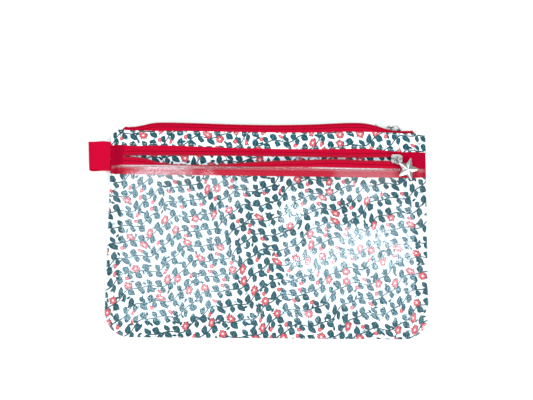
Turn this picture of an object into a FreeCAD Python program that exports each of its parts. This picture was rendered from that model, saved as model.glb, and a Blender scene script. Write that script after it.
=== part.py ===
import FreeCAD
import Part
import Sketcher
import math
import os
from FreeCAD import Placement, Rotation, Vector

# Flat pouch with two zips, lying on its back: X along the zips, Y towards them, Z up.
# Lengths in millimetres, each set once in the sheet.
sizes = [
    ("pouchWidth", 275.0), ("pouchHeight", 175.0), ("cornerRadius", 22.0), ("seamWidth", 3.0),
    ("fabricThick", 0.7), ("liningThick", 0.3), ("tapeThick", 0.5), ("clearThick", 0.4),
    ("backDepth", 6.0), ("backSlope", 23.0), ("backTopSlope", 32.0),
    ("liningInset", 2.0), ("pieceGap", 0.3),
    ("pocketDepth", 7.8), ("wallSlope", 9.5),
    ("scoopStart", 30.0), ("seamAllowance", 6.0),
    ("stripWidth", 13.0), ("frontZipDrop", 21.5), ("clearDrop", 29.5), ("hemWidth", 3.0),
    ("tapeHalf", 16.2), ("leftTabLength", 12.7), ("rightTabLength", 21.5),
    ("coilWide", 1.3), ("coilThick", 1.8), ("coilApart", 1.5), ("coilPitch", 2.0),
    ("rearCoilApart", 2.2),
    ("frontBow", 4.0), ("rearSlack", 1.5),
    ("rearEndInset", 12.7), ("rearZipRise", 3.0), ("rearLipOver", 0.05),
    ("rearBow", 5.0), ("rearBackBow", 4.0),
    ("stopLength", 2.4),
    ("sliderLength", 9.4), ("sliderWidth", 7.4), ("wingThick", 1.1), ("channelHalf", 1.1),
    ("lowerWingWidth", 5.4), ("postWidth", 2.2), ("postLength", 4.0),
    ("rearSliderWidth", 9.0), ("rearWingWidth", 6.2), ("rearPostWidth", 3.2),
    ("flangeThick", 0.6), ("flangeLift", 0.55),
    ("bailWire", 1.1), ("bailRadius", 3.8),
    ("frontSliderRest", 1.6), ("rearSliderRest", 7.7),
    ("ringRadius", 2.4), ("ringWire", 0.8), ("ringHang", 0.9),
    ("starRadius", 10.0), ("starThick", 1.8), ("starEdge", 0.7), ("starReach", 11.0),
    ("eyeHole", 2.8), ("eyeWire", 0.8),
    ("loopWidth", 25.0), ("loopReach", 19.5), ("loopThick", 1.4), ("loopGap", 5.0),
    ("loopDrop", 9.0), ("loopStem", 2.0),
    ("cutOver", 20.0),
]
cornerShare = 0.7
rootShare = 0.45
toothShare = 0.5
noseShare = 0.74
bowSteps = 16
starPoints = 5
waistShare = 0.46
crownShare = 0.12

doc = FreeCAD.newDocument("zip_pouch")
sheet = doc.addObject("Spreadsheet::Sheet", "Sizes")
for row, (name, value) in enumerate(sizes, start=1):
    sheet.set("A%d" % row, name)
    sheet.set("B%d" % row, str(value))
    sheet.setAlias("B%d" % row, name)
doc.recompute()
s = {name: float(sheet.get(name)) for name, value in sizes}

# Levels and edges that follow from the sizes.
halfWidth = s["pouchWidth"] / 2
topEdge = s["pouchHeight"] / 2
midLevel = s["backDepth"] + s["fabricThick"]
floorLevel = midLevel + s["fabricThick"]
wallLevel = floorLevel + s["pocketDepth"]
tapeLevel = wallLevel - s["tapeThick"]
scoopLevel = tapeLevel - s["fabricThick"]
zipY = topEdge - s["frontZipDrop"]
zipZ = wallLevel - s["tapeThick"] / 2
rearY = topEdge + s["rearZipRise"]
rearTapeTop = midLevel + s["tapeThick"]
rearZ = (rearTapeTop + tapeLevel) / 2
coilBack = s["coilApart"] + s["coilWide"]
tapeLeft = s["leftTabLength"] - halfWidth
tapeRight = halfWidth - s["rightTabLength"]
bailFoot = s["channelHalf"] + s["wingThick"]
rearLeft = s["rearEndInset"] - halfWidth
rearRight = -rearLeft
tapeIn = topEdge - s["seamAllowance"]
tapeOut = tapeIn - s["pieceGap"]
coilStart = rearLeft + s["stopLength"]
coilEnd = rearRight - s["stopLength"]
frontSliderX = tapeRight - s["frontSliderRest"] - s["sliderLength"] / 2
rearSliderX = coilEnd - s["rearSliderRest"] - s["sliderLength"] / 2
nodes = []


def keep(label, shape):
    piece = doc.addObject("Part::Feature", label)
    piece.Shape = shape.removeSplitter()
    piece.Label = label
    nodes.append(piece)
    return piece


def bind(piece, **rules):
    for key, rule in rules.items():
        piece.setExpression(key.replace("_", "."), rule)
    return piece


def outline(inset, topInset, level):
    side = halfWidth - inset
    low = inset - topEdge
    high = topEdge - topInset
    r = s["cornerRadius"] - inset * cornerShare
    bend = r * (1 - math.sqrt(0.5))
    edges = [
        Part.makeLine(Vector(side, high, level), Vector(-side, high, level)),
        Part.makeLine(Vector(-side, high, level), Vector(-side, low + r, level)),
        Part.Arc(Vector(-side, low + r, level), Vector(bend - side, low + bend, level),
                 Vector(r - side, low, level)).toShape(),
        Part.makeLine(Vector(r - side, low, level), Vector(side - r, low, level)),
        Part.Arc(Vector(side - r, low, level), Vector(side - bend, low + bend, level),
                 Vector(side, low + r, level)).toShape(),
        Part.makeLine(Vector(side, low + r, level), Vector(side, high, level)),
    ]
    return Part.Wire(edges)


def rectangle(side, low, high, level):
    return Part.makePolygon([
        Vector(side, high, level), Vector(-side, high, level),
        Vector(-side, low, level), Vector(side, low, level), Vector(side, high, level)])


def loft(lower, upper):
    return Part.makeLoft([lower, upper], True, True)


def slab(inset, level, thick):
    return Part.Face(outline(inset, inset, level)).extrude(Vector(0, 0, thick))


def lifted(shape, height):
    moved = shape.copy()
    moved.translate(Vector(0, 0, height))
    return moved


def block(x0, x1, y0, y1, z0, z1):
    return Part.makeBox(x1 - x0, y1 - y0, z1 - z0, Vector(x0, y0, z0))


def band(y0, y1, x0=None, x1=None):
    far = halfWidth + s["cutOver"]
    left = -far if x0 is None else x0
    right = far if x1 is None else x1
    return block(left, right, y0, y1, -s["cutOver"], wallLevel + s["cutOver"])


def prism(points, level, thick):
    loop = [Vector(x, y, level) for x, y in points]
    return Part.Face(Part.makePolygon(loop + loop[:1])).extrude(Vector(0, 0, thick))


# Back of the pouch: a shallow tray with a seam flange round its rim, and its lining.
deep = s["seamWidth"] + s["backSlope"]
deepTop = s["seamWidth"] + s["backTopSlope"]
tray = loft(outline(deep, deepTop, 0), outline(s["seamWidth"], s["seamWidth"], s["backDepth"]))
keep("back_panel", tray.fuse(slab(0, s["backDepth"], s["fabricThick"])).cut(
    lifted(tray, s["fabricThick"])))
inner = s["liningInset"]
liner = loft(outline(deep + inner, deepTop + inner, 0),
             outline(s["seamWidth"] + inner, s["seamWidth"] + inner, s["backDepth"]))
linerTop = midLevel - s["liningThick"] - s["pieceGap"]
keep("back_lining", lifted(liner, s["fabricThick"]).cut(
    lifted(liner, s["fabricThick"] + s["liningThick"])).common(
    block(-halfWidth, halfWidth, -topEdge, topEdge, 0, linerTop)))

# Middle panel: flat, with a scoop that lifts its upper edge to the rear zip.
run = s["wallSlope"] / s["pocketDepth"]
scoopFoot = halfWidth - s["seamWidth"] - run * s["tapeThick"]
scoopHead = halfWidth - s["seamWidth"] - s["wallSlope"]
scoop = loft(rectangle(scoopFoot, topEdge - s["scoopStart"], topEdge, midLevel),
             rectangle(scoopHead, topEdge - s["seamAllowance"], topEdge, scoopLevel))
keep("middle_panel", lifted(scoop, s["fabricThick"]).fuse(
    slab(0, midLevel, s["fabricThick"])).cut(scoop))
linerEdge = s["seamWidth"] + inner
keep("middle_lining", scoop.fuse(
    slab(linerEdge, midLevel - s["liningThick"], s["liningThick"])).cut(
    lifted(scoop, -s["liningThick"])))

# Front wall: strip between the zips, clear front below them, end tabs in the tape layer.
wall = loft(outline(s["seamWidth"], 0, floorLevel),
            outline(s["seamWidth"] + s["wallSlope"], 0, wallLevel))


def wallSheet(thick):
    return lifted(wall, thick).fuse(slab(0, floorLevel, thick)).cut(wall)


stripEdge = topEdge - s["stripWidth"]
clearEdge = topEdge - s["clearDrop"]
keep("top_strip", wallSheet(s["fabricThick"]).common(band(stripEdge, topEdge)))
keep("clear_front", wallSheet(s["clearThick"]).common(band(-topEdge - s["cutOver"], clearEdge)))
tapeLayer = wall.cut(lifted(wall, -s["tapeThick"]))
tabEdge = slab(0, floorLevel, s["tapeThick"]).cut(wall).common(
    band(clearEdge + s["pieceGap"], stripEdge - s["pieceGap"]))
tabBand = band(zipY - s["tapeHalf"], tapeOut)
tabLayer = tapeLayer.common(tabBand).fuse(tabEdge)
far = halfWidth + s["cutOver"]
keep("left_tab", tabLayer.common(band(-topEdge, topEdge, -far, tapeLeft)))
keep("right_tab", tabLayer.common(band(-topEdge, topEdge, tapeRight, far)))

hem = doc.addObject("Part::Box", "clear_front_hem")
bind(hem, Length="Sizes.pouchWidth - 2 * (Sizes.seamWidth + Sizes.wallSlope)",
     Width="Sizes.hemWidth", Height="Sizes.clearThick")
hem.Placement.Base = Vector(-scoopHead, clearEdge - s["hemWidth"], wallLevel + s["clearThick"])
nodes.append(hem)

# Front zip: the upper lip runs straight, the lower one hangs open in a bow.
upper = doc.addObject("Part::Box", "front_upper_tape")
bind(upper, Length="Sizes.pouchWidth - Sizes.leftTabLength - Sizes.rightTabLength",
     Width="Sizes.frontZipDrop - Sizes.seamAllowance - Sizes.pieceGap - Sizes.coilApart - Sizes.coilWide",
     Height="Sizes.tapeThick")
upper.Placement.Base = Vector(tapeLeft, zipY + coilBack, tapeLevel)
nodes.append(upper)
bowLeft = tapeLeft
bowRight = frontSliderX - s["sliderLength"] / 2 - s["rearSlack"]


def bowAt(x, left, right, depth):
    share = (x - left) / (right - left)
    if share <= 0 or share >= 1:
        return 0
    return depth * math.sin(math.pi * share) ** 2


def bowPoints(left, right, end, depth):
    steps = [left + (right - left) * k / bowSteps for k in range(bowSteps + 1)]
    return [(x, bowAt(x, left, right, depth)) for x in steps] + [(end, 0)]


def bowLine(x, points):
    for (xa, ya), (xb, yb) in zip(points, points[1:]):
        if xa <= x <= xb:
            return ya + (yb - ya) * (x - xa) / (xb - xa)
    return 0


frontBow = bowPoints(bowLeft, bowRight, tapeRight, s["frontBow"])
lip = [(x, zipY - coilBack - drop) for x, drop in frontBow]
tapeFoot = zipY - s["tapeHalf"]
keep("front_lower_tape", prism(lip + [(tapeRight, tapeFoot), (tapeLeft, tapeFoot)],
                               tapeLevel, s["tapeThick"]))


def combPoints(left, right):
    # One tooth to each pitch: root, rise, crest and fall, told as (x, share of the coil's width).
    count = int((right - left) / s["coilPitch"])
    pitch = (right - left) / count
    points = []
    for k in range(count):
        x = left + k * pitch
        side = pitch * (1 - toothShare) / 2
        points += [(x + side, rootShare), (x + side, 1), (x + pitch - side, 1),
                   (x + pitch - side, rootShare)]
    return [(left, rootShare)] + points + [(right, rootShare)]


teeth = combPoints(tapeLeft, tapeRight)
coilFoot = zipZ - s["coilThick"] / 2
upperComb = [(x, zipY + coilBack - share * s["coilWide"]) for x, share in teeth]
lipTop = zipY + coilBack
keep("front_upper_coil", prism(upperComb + [(tapeRight, lipTop), (tapeLeft, lipTop)],
                               coilFoot, s["coilThick"]))
lowerComb = [(x, zipY - coilBack - bowLine(x, frontBow) + share * s["coilWide"])
             for x, share in teeth]
keep("front_lower_coil", prism(lowerComb + lip[::-1], coilFoot, s["coilThick"]))

# Rear zip: two tapes lying over each other at the upper edge, lips bowed outwards.
rearBend = rearSliderX - s["sliderLength"] / 2 - s["rearSlack"]


def rearTape(label, depth, level):
    rise = bowPoints(rearLeft, rearBend, rearRight, depth)
    edge = [(x, rearY + s["rearLipOver"] + y) for x, y in rise]
    keep(label, prism(edge + [(rearRight, tapeIn), (rearLeft, tapeIn)], level, s["tapeThick"]))
    return rise


frontRise = rearTape("rear_front_tape", s["rearBow"], tapeLevel)
backRise = rearTape("rear_back_tape", s["rearBackBow"], midLevel)
rearWide = (tapeLevel - rearTapeTop) / 2 - s["rearCoilApart"]
rearTeeth = combPoints(coilStart, coilEnd)


def rearCoil(label, rise, base, turn):
    loop = [Vector(x, topEdge, base + turn * share * rearWide) for x, share in rearTeeth]
    loop += [Vector(coilEnd, topEdge, base), Vector(coilStart, topEdge, base)]
    comb = Part.Face(Part.makePolygon(loop + loop[:1])).extrude(Vector(0, s["cutOver"], 0))
    half = s["coilThick"] / 2
    outer = [(x, rearY + y + half) for x, y in rise]
    under = [(x, rearY + y - half) for x, y in rise]
    keep(label, comb.common(prism(outer + under[::-1], 0, wallLevel + s["cutOver"])))


rearCoil("rear_front_coil", frontRise, tapeLevel, -1)
rearCoil("rear_back_coil", backRise, rearTapeTop, 1)


def stop(label, x, z, height):
    piece = doc.addObject("Part::Box", label)
    bind(piece, Length="Sizes.stopLength", Width="Sizes.coilThick", Height=height)
    piece.Placement.Base = Vector(x, rearY - s["coilThick"] / 2, z)
    nodes.append(piece)


lowStop = "(Sizes.pocketDepth - Sizes.tapeThick + Sizes.fabricThick - Sizes.tapeThick) / 2"
stop("rear_top_stop_front", rearLeft, rearZ + s["rearCoilApart"], lowStop + " - Sizes.rearCoilApart")
stop("rear_top_stop_back", rearLeft, rearTapeTop, lowStop + " - Sizes.rearCoilApart")
stop("rear_bottom_stop", coilEnd, rearTapeTop, "2 * " + lowStop)


# Slider: lower wing, post and upper wing, side flanges and a lengthwise bail for the pull.
def wingPad(body, name, points, level, thick):
    sketch = body.newObject("Sketcher::SketchObject", name + "_sketch")
    plane = [part for part in body.Origin.OriginFeatures if part.Role == "XY_Plane"][0]
    sketch.AttachmentSupport = (plane, [""])
    sketch.MapMode = "FlatFace"
    bind(sketch, AttachmentOffset_Base_z=level)
    count = len(points)
    for k, (x, y) in enumerate(points):
        nextX, nextY = points[(k + 1) % count]
        sketch.addGeometry(Part.LineSegment(Vector(x, y, 0), Vector(nextX, nextY, 0)), False)
    for k in range(count):
        sketch.addConstraint(Sketcher.Constraint("Coincident", k, 2, (k + 1) % count, 1))
    pad = body.newObject("PartDesign::Pad", name)
    pad.Profile = sketch
    bind(pad, Length=thick)
    doc.recompute()


def shoulder(width):
    # Wing seen from above: chamfered open end at the left, narrower nose at the right.
    back = -s["sliderLength"] / 2
    nose = s["sliderLength"] / 2
    side = width / 2
    cut = s["wingThick"]
    tip = side * noseShare
    half = [(back, side - cut), (back + cut, side), (cut, side), (nose - cut, tip + cut / 2),
            (nose, tip - cut / 2)]
    return half + [(x, -y) for x, y in half[::-1]]


def makeSlider(label, base, turn, width, lowerWidth, postWidth):
    body = doc.addObject("PartDesign::Body", label + "_wings")
    back = -s["sliderLength"] / 2
    post = [(back + s["wingThick"] / 2, 0), (back + s["postLength"] / 2, postWidth / 2),
            (back + s["postLength"], 0), (back + s["postLength"] / 2, -postWidth / 2)]
    wingPad(body, label + "_lower", shoulder(lowerWidth),
            "-Sizes.channelHalf - Sizes.wingThick", "Sizes.wingThick")
    wingPad(body, label + "_post", post, "-Sizes.channelHalf", "2 * Sizes.channelHalf")
    wingPad(body, label + "_upper", shoulder(width), "Sizes.channelHalf",
            "Sizes.wingThick")
    sides = []
    for turned in (1, -1):
        flange = doc.addObject("Part::Box", label + "_flange")
        bind(flange, Length="Sizes.sliderLength / 2", Width="Sizes.flangeThick",
             Height="Sizes.channelHalf - Sizes.flangeLift + Sizes.wingThick / 2")
        edge = turned * width / 2
        low = edge - s["flangeThick"] if turned > 0 else edge
        flange.Placement.Base = Vector(back + s["wingThick"], low, s["flangeLift"])
        sides.append(flange)
    bail = doc.addObject("Part::Torus", label + "_bail")
    bind(bail, Radius1="Sizes.bailRadius", Radius2="Sizes.bailWire / 2")
    bail.Angle3 = 180
    bail.Placement = Placement(Vector(0, 0, bailFoot), Rotation(Vector(1, 0, 0), 90))
    whole = doc.addObject("Part::MultiFuse", label)
    whole.Shapes = [body, bail] + sides
    whole.Placement = Placement(base, turn)
    nodes.append(whole)


frontBase = Vector(frontSliderX, zipY, zipZ)
rearBase = Vector(rearSliderX, rearY, rearZ)
makeSlider("front_slider", frontBase, Rotation(), s["sliderWidth"], s["lowerWingWidth"], s["postWidth"])
makeSlider("rear_slider", rearBase, Rotation(Vector(1, 0, 0), -90),
           s["rearSliderWidth"], s["rearWingWidth"], s["rearPostWidth"])


# Pull: a jump ring through the bail and a star charm hanging from it by its eye.
def makeRing(label, hook, pull, axis):
    ring = doc.addObject("Part::Torus", label)
    bind(ring, Radius1="Sizes.ringRadius", Radius2="Sizes.ringWire / 2")
    centre = hook + pull * s["ringHang"]
    ring.Placement = Placement(centre, Rotation(Vector(0, 0, 1), axis))
    nodes.append(ring)
    return centre + pull * s["ringRadius"]


def starWire(radius, level):
    points = []
    for k in range(2 * starPoints):
        reach = radius if k % 2 == 0 else radius * waistShare
        angle = math.pi + math.pi * k / starPoints
        points.append(Vector(s["starReach"] + reach * math.cos(angle),
                             reach * math.sin(angle), level))
    return Part.makePolygon(points + points[:1])


def makeStar(label, eye, along, face):
    edge = s["starEdge"] / 2
    crown = s["starThick"] / 2
    core = Part.Face(starWire(s["starRadius"], -edge)).extrude(Vector(0, 0, s["starEdge"]))
    small = s["starRadius"] * crownShare
    front = loft(starWire(s["starRadius"], edge), starWire(small, crown))
    back = loft(starWire(s["starRadius"], -edge), starWire(small, -crown))
    plate = doc.addObject("Part::Feature", label + "_plate")
    plate.Shape = core.fuse([front, back]).cut(
        Part.makeCylinder(s["eyeHole"] / 2, s["starThick"] * 2, Vector(0, 0, -s["starThick"])))
    loop = doc.addObject("Part::Torus", label + "_eye")
    bind(loop, Radius1="(Sizes.eyeHole + Sizes.eyeWire) / 2", Radius2="Sizes.eyeWire / 2")
    whole = doc.addObject("Part::Fuse", label)
    whole.Base = plate
    whole.Tool = loop
    whole.Placement = Placement(eye, Rotation(along, face.cross(along), face, "XZY"))
    nodes.append(whole)


def heading(turn, dip):
    flat = math.cos(math.radians(dip))
    return Vector(math.cos(math.radians(turn)) * flat, math.sin(math.radians(turn)) * flat,
                  -math.sin(math.radians(dip)))


def upright(turn, dip):
    return heading(turn, dip - 90)


frontHook = frontBase + Vector(0, 0, bailFoot + s["bailRadius"])
frontPull = heading(-90, 20)
frontEye = makeRing("front_ring", frontHook, frontPull, Vector(1, 0, 0))
makeStar("front_star", frontEye, heading(-34, 9), upright(-34, 9))

lean = math.radians(50)
rearHook = rearBase + Vector(-s["bailRadius"] * math.sin(lean),
                              bailFoot + s["bailRadius"] * math.cos(lean), 0)
rearPull = heading(180, 60)
rearEye = makeRing("rear_ring", rearHook, rearPull, Vector(0, 1, 0))
makeStar("rear_star", rearEye, heading(-148, 21), upright(-148, 21))

# Webbing loop: a folded band whose two ends meet the side seam.
loopY0 = topEdge - s["loopDrop"] - s["loopWidth"]
loopEdge = -halfWidth
bendR = s["loopGap"] / 2 + s["loopThick"]


def loopFace(reach, half, stem):
    x1 = loopEdge - s["loopStem"]
    x2 = loopEdge - 2 * s["loopStem"] - half
    x3 = loopEdge - reach + half
    top = [Vector(loopEdge, loopY0, floorLevel + stem), Vector(x1, loopY0, floorLevel + stem),
           Vector(x2, loopY0, floorLevel + half), Vector(x3, loopY0, floorLevel + half)]
    low = [Vector(v.x, v.y, 2 * floorLevel - v.z) for v in top[::-1]]
    tip = Part.Arc(top[-1], Vector(loopEdge - reach, loopY0, floorLevel), low[0]).toShape()
    chain = [Part.makeLine(a, b) for a, b in zip(top, top[1:])] + [tip]
    chain += [Part.makeLine(a, b) for a, b in zip(low, low[1:])]
    return chain


def loopSolid(chain, first, last):
    face = Part.Face(Part.Wire(chain + [Part.makeLine(last, first)]))
    return face.extrude(Vector(0, s["loopWidth"], 0))


outerChain = loopFace(s["loopReach"], bendR, s["loopThick"])
outerFirst = Vector(loopEdge, loopY0, floorLevel + s["loopThick"])
outerLast = Vector(loopEdge, loopY0, floorLevel - s["loopThick"])
outer = loopSolid(outerChain, outerFirst, outerLast)
hollowLeft = loopEdge - s["loopReach"] + s["loopThick"]
hollowRight = loopEdge - 2 * s["loopStem"] - bendR
hollowHalf = s["loopGap"] / 2
mouth = Vector(loopEdge - s["loopStem"], loopY0, floorLevel)
topIn = Vector(hollowRight, loopY0, floorLevel + hollowHalf)
lowIn = Vector(hollowRight, loopY0, floorLevel - hollowHalf)
topBend = Vector(hollowLeft + hollowHalf, loopY0, floorLevel + hollowHalf)
lowBend = Vector(hollowLeft + hollowHalf, loopY0, floorLevel - hollowHalf)
innerChain = [Part.makeLine(mouth, topIn), Part.makeLine(topIn, topBend),
              Part.Arc(topBend, Vector(hollowLeft, loopY0, floorLevel), lowBend).toShape(),
              Part.makeLine(lowBend, lowIn)]
keep("side_loop", outer.cut(loopSolid(innerChain, mouth, lowIn)))

doc.recompute()
os.makedirs("parts", exist_ok=True)
for piece in doc.Objects:
    if "Invalid" in piece.State or "Error" in piece.State:
        raise RuntimeError("not built: " + piece.Label)
for piece in nodes:
    if piece.Shape.isNull() or not piece.Shape.isValid():
        raise RuntimeError("bad shape: " + piece.Label)
    piece.Shape.exportStep(os.path.join("parts", piece.Label + ".step"))
    print(piece.Label, len(piece.Shape.Solids), round(piece.Shape.Volume, 1))
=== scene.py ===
import bpy
import bmesh
import math
import numpy as np
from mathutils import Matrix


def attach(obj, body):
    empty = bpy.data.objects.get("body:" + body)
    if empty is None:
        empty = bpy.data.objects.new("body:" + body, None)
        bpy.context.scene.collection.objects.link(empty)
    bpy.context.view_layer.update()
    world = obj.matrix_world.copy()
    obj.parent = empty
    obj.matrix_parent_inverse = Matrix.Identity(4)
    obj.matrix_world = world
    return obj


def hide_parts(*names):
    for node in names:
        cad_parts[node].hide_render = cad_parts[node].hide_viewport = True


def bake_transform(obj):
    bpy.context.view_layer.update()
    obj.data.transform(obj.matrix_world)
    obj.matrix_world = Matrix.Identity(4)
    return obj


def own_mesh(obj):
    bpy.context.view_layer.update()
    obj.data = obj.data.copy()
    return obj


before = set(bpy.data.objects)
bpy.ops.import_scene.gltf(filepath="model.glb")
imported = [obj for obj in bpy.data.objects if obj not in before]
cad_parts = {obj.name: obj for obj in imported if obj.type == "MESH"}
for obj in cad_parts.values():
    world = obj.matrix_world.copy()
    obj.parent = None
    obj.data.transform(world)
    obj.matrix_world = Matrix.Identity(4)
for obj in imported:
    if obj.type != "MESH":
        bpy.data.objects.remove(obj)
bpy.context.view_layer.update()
mm = 0.001
print("stage: frame loaded")

# sizes shared by all the sewn pieces, in millimetres
pouch = {
    "half": 137.5, "top": 87.5, "corner": 22.0,
    "rim": 6.0, "mid": 6.7, "floor": 7.4, "wall": 15.2, "seam": 0.6, "wallRun": 12.4,
    "clearEdge": 58.0, "zipZ": 14.95, "rearY": 90.5,
}


def soft(t):  # smooth step: three t squared less two t cubed
    t = np.clip(t, 0, 1)
    return t * t * (3 - 2 * t)


def throughPoints(pairs, x):  # smooth line through a few points, tangents from their neighbours
    px, py = np.array(pairs, float).T
    slope = np.gradient(py, px)
    k = np.clip(np.searchsorted(px, x) - 1, 0, len(px) - 2)
    w = px[k + 1] - px[k]
    t = np.clip((x - px[k]) / w, 0, 1)
    a = (1 + 2 * t) * (1 - t) ** 2
    b = t * (1 - t) ** 2
    c = t * t * (3 - 2 * t)
    d = t * t * (t - 1)
    return a * py[k] + b * w * slope[k] + c * py[k + 1] + d * w * slope[k + 1]


def lowEdge(x):  # lower outline: straight with a quarter round at each corner
    r = pouch["corner"]
    over = np.clip(np.abs(x) - (pouch["half"] - r), 0, r)
    return -pouch["top"] + r - np.sqrt(r * r - over * over)


def sideGap(x):  # distance inwards from the nearer side
    return pouch["half"] - np.abs(x)


def edgeGap(x, y, topScale=None):  # distance inwards from the side and lower outline, or from a scaled top
    r = pouch["corner"]
    side = sideGap(x)
    low = y + pouch["top"]
    gap = np.minimum(side, low)
    inCorner = (side < r) & (low < r)
    gap = np.where(inCorner, r - np.hypot(r - side, r - low), gap)
    if topScale is not None:
        gap = np.minimum(gap, (pouch["top"] - y) * topScale)
    return gap


def ripple(x, y, size):  # slow uneven swell: three crossing sine waves
    return size * (np.sin(x / 31 + y / 53) + 0.7 * np.sin(y / 23 - x / 47 + 1.3)
                   + 0.5 * np.sin((x + y) / 17 + 0.6)) / 2.2


def placed(name, data):  # a new object in the scene
    obj = bpy.data.objects.new(name, data)
    bpy.context.collection.objects.link(obj)
    return obj


def quadMesh(name, x, y, z, quads):  # points from millimetres, quads between them, shaded smooth
    points = np.stack([x, y, z], axis=-1).reshape(-1, 3) * mm
    mesh = bpy.data.meshes.new(name)
    mesh.from_pydata(points.tolist(), [], quads.tolist())
    mesh.polygons.foreach_set("use_smooth", np.ones(len(quads), dtype=bool))
    return mesh


def closePoles(mesh):  # points that lie on each other, at a tip, become one
    work = bmesh.new()
    work.from_mesh(mesh)
    bmesh.ops.remove_doubles(work, verts=work.verts, dist=0.0002 * mm)
    work.to_mesh(mesh)
    work.free()


def gridMesh(name, x, y, z, closeRows=False, closeCols=False, flip=False, along=None, across=None):
    # one quad between each four neighbours of the grid; a closed direction joins its last line to its first;
    # along and across become the UV map
    rows, cols = x.shape
    a, b = np.meshgrid(np.arange(rows if closeRows else rows - 1),
                       np.arange(cols if closeCols else cols - 1), indexing="ij")
    a2 = (a + 1) % rows
    b2 = (b + 1) % cols
    quads = np.stack([a * cols + b, a2 * cols + b, a2 * cols + b2, a * cols + b2], axis=-1)
    quads = quads.reshape(-1, 4)
    if flip:
        quads = quads[:, ::-1]
    mesh = quadMesh(name, x, y, z, quads)
    if along is not None:
        uv = np.stack([along, across], axis=-1).reshape(-1, 2) * mm
        layer = mesh.uv_layers.new(name="UVMap")
        loops = np.zeros(len(mesh.loops), dtype=np.int32)
        mesh.loops.foreach_get("vertex_index", loops)
        layer.data.foreach_set("uv", uv[loops].ravel())
    elif closeCols:
        closePoles(mesh)
    mesh.update()
    return placed(name, mesh)


def repeatMesh(name, x, y, z):  # many small closed-round grids in one mesh
    count, rows, cols = x.shape
    k, a, b = np.meshgrid(np.arange(count), np.arange(rows - 1), np.arange(cols), indexing="ij")
    first = (k * rows + a) * cols
    b2 = (b + 1) % cols
    quads = np.stack([first + b, first + cols + b, first + cols + b2, first + b2], axis=-1).reshape(-1, 4)
    mesh = quadMesh(name, x, y, z, quads)
    closePoles(mesh)
    return placed(name, mesh)


def dress(obj, material, body, slotName, *nodes, thick=None, side=-1.0, edge=0.0):
    # finish, thickness and place in the frame for one piece
    obj.data.materials.append(material)
    if thick:
        wall = obj.modifiers.new("thickness", "SOLIDIFY")
        wall.thickness = thick * mm
        wall.offset = side
    if edge:  # cut edges are rounded by this share of the thickness
        bevel = obj.modifiers.new("edge", "BEVEL")
        bevel.width = edge * thick * mm
        bevel.segments = 2
        bevel.limit_method = "ANGLE"
        bevel.angle_limit = math.radians(50)
    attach(obj, body)
    if nodes:
        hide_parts(*nodes)


def tube(path, radius, sides, up):  # circle of that radius carried along the path
    tangent = np.gradient(path, axis=0)
    tangent /= np.linalg.norm(tangent, axis=1, keepdims=True)
    one = np.cross(tangent, np.asarray(up, float))
    one /= np.linalg.norm(one, axis=1, keepdims=True)
    two = np.cross(tangent, one)
    turn = np.linspace(0, 2 * np.pi, sides, endpoint=False)
    ring = (np.cos(turn)[None, :, None] * one[:, None, :]
            + np.sin(turn)[None, :, None] * two[:, None, :])
    full = np.ones(len(path))
    full[[0, -1]] = 0  # both ends close in a point
    p = path[:, None, :] + radius * full[:, None, None] * ring
    return p[..., 0], p[..., 1], p[..., 2]


# node helpers for the finishes
def newFinish(name):
    material = bpy.data.materials.new(name)
    material.use_nodes = True
    tree = material.node_tree
    return material, tree, tree.nodes["Principled BSDF"]


def calc(tree, operation, a, b=None, c=None, clamp=False):
    node = tree.nodes.new("ShaderNodeMath")
    node.operation = operation
    node.use_clamp = clamp
    for k, value in enumerate((a, b, c)):
        if value is None:
            continue
        if isinstance(value, (int, float)):
            node.inputs[k].default_value = value
        else:
            tree.links.new(value, node.inputs[k])
    return node.outputs[0]


def times(tree, a, b):
    return calc(tree, "MULTIPLY", a, b)


def below(tree, value, limit, blur):  # 1 where value is under limit, blurred over blur
    gap = calc(tree, "SUBTRACT", limit, value)
    return calc(tree, "MULTIPLY_ADD", gap, 1.0 / blur, 0.5, clamp=True)


def paint(tree, share, under, over):  # under and over mixed by share
    node = tree.nodes.new("ShaderNodeMix")
    node.data_type = "RGBA"
    for socket, value in ((node.inputs[0], share), (node.inputs[6], under), (node.inputs[7], over)):
        if hasattr(value, "links"):
            tree.links.new(value, socket)
        elif isinstance(value, (int, float)):
            socket.default_value = value
        else:
            socket.default_value = (*value, 1.0)
    return node.outputs[2]


def flatPlace(tree, size, source="Object", shift=(0, 0)):  # place in the plane, in units of size
    coords = tree.nodes.new("ShaderNodeTexCoord")
    split = tree.nodes.new("ShaderNodeSeparateXYZ")
    tree.links.new(coords.outputs[source], split.inputs[0])
    x = calc(tree, "MULTIPLY_ADD", split.outputs[0], 1 / (size * mm), shift[0])
    y = calc(tree, "MULTIPLY_ADD", split.outputs[1], 1 / (size * mm), shift[1])
    return x, y


def joinPlace(tree, x, y):
    node = tree.nodes.new("ShaderNodeCombineXYZ")
    tree.links.new(x, node.inputs[0])
    tree.links.new(y, node.inputs[1])
    return node.outputs[0]


def cells(tree, size, spread, shift=(0, 0)):  # scattered cells: place in the cell and random numbers
    x, y = flatPlace(tree, size, shift=shift)
    place = joinPlace(tree, x, y)
    node = tree.nodes.new("ShaderNodeTexVoronoi")
    node.voronoi_dimensions = "2D"
    node.inputs["Scale"].default_value = 1.0
    node.inputs["Randomness"].default_value = spread
    tree.links.new(place, node.inputs["Vector"])
    offset = tree.nodes.new("ShaderNodeVectorMath")
    offset.operation = "SUBTRACT"
    tree.links.new(place, offset.inputs[0])
    tree.links.new(node.outputs["Position"], offset.inputs[1])
    split = tree.nodes.new("ShaderNodeSeparateXYZ")
    tree.links.new(offset.outputs[0], split.inputs[0])
    chance = tree.nodes.new("ShaderNodeSeparateColor")
    tree.links.new(node.outputs["Color"], chance.inputs[0])
    dx = times(tree, split.outputs[0], size)
    dy = times(tree, split.outputs[1], size)
    return dx, dy, chance.outputs[0], chance.outputs[1], chance.outputs[2]


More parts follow.
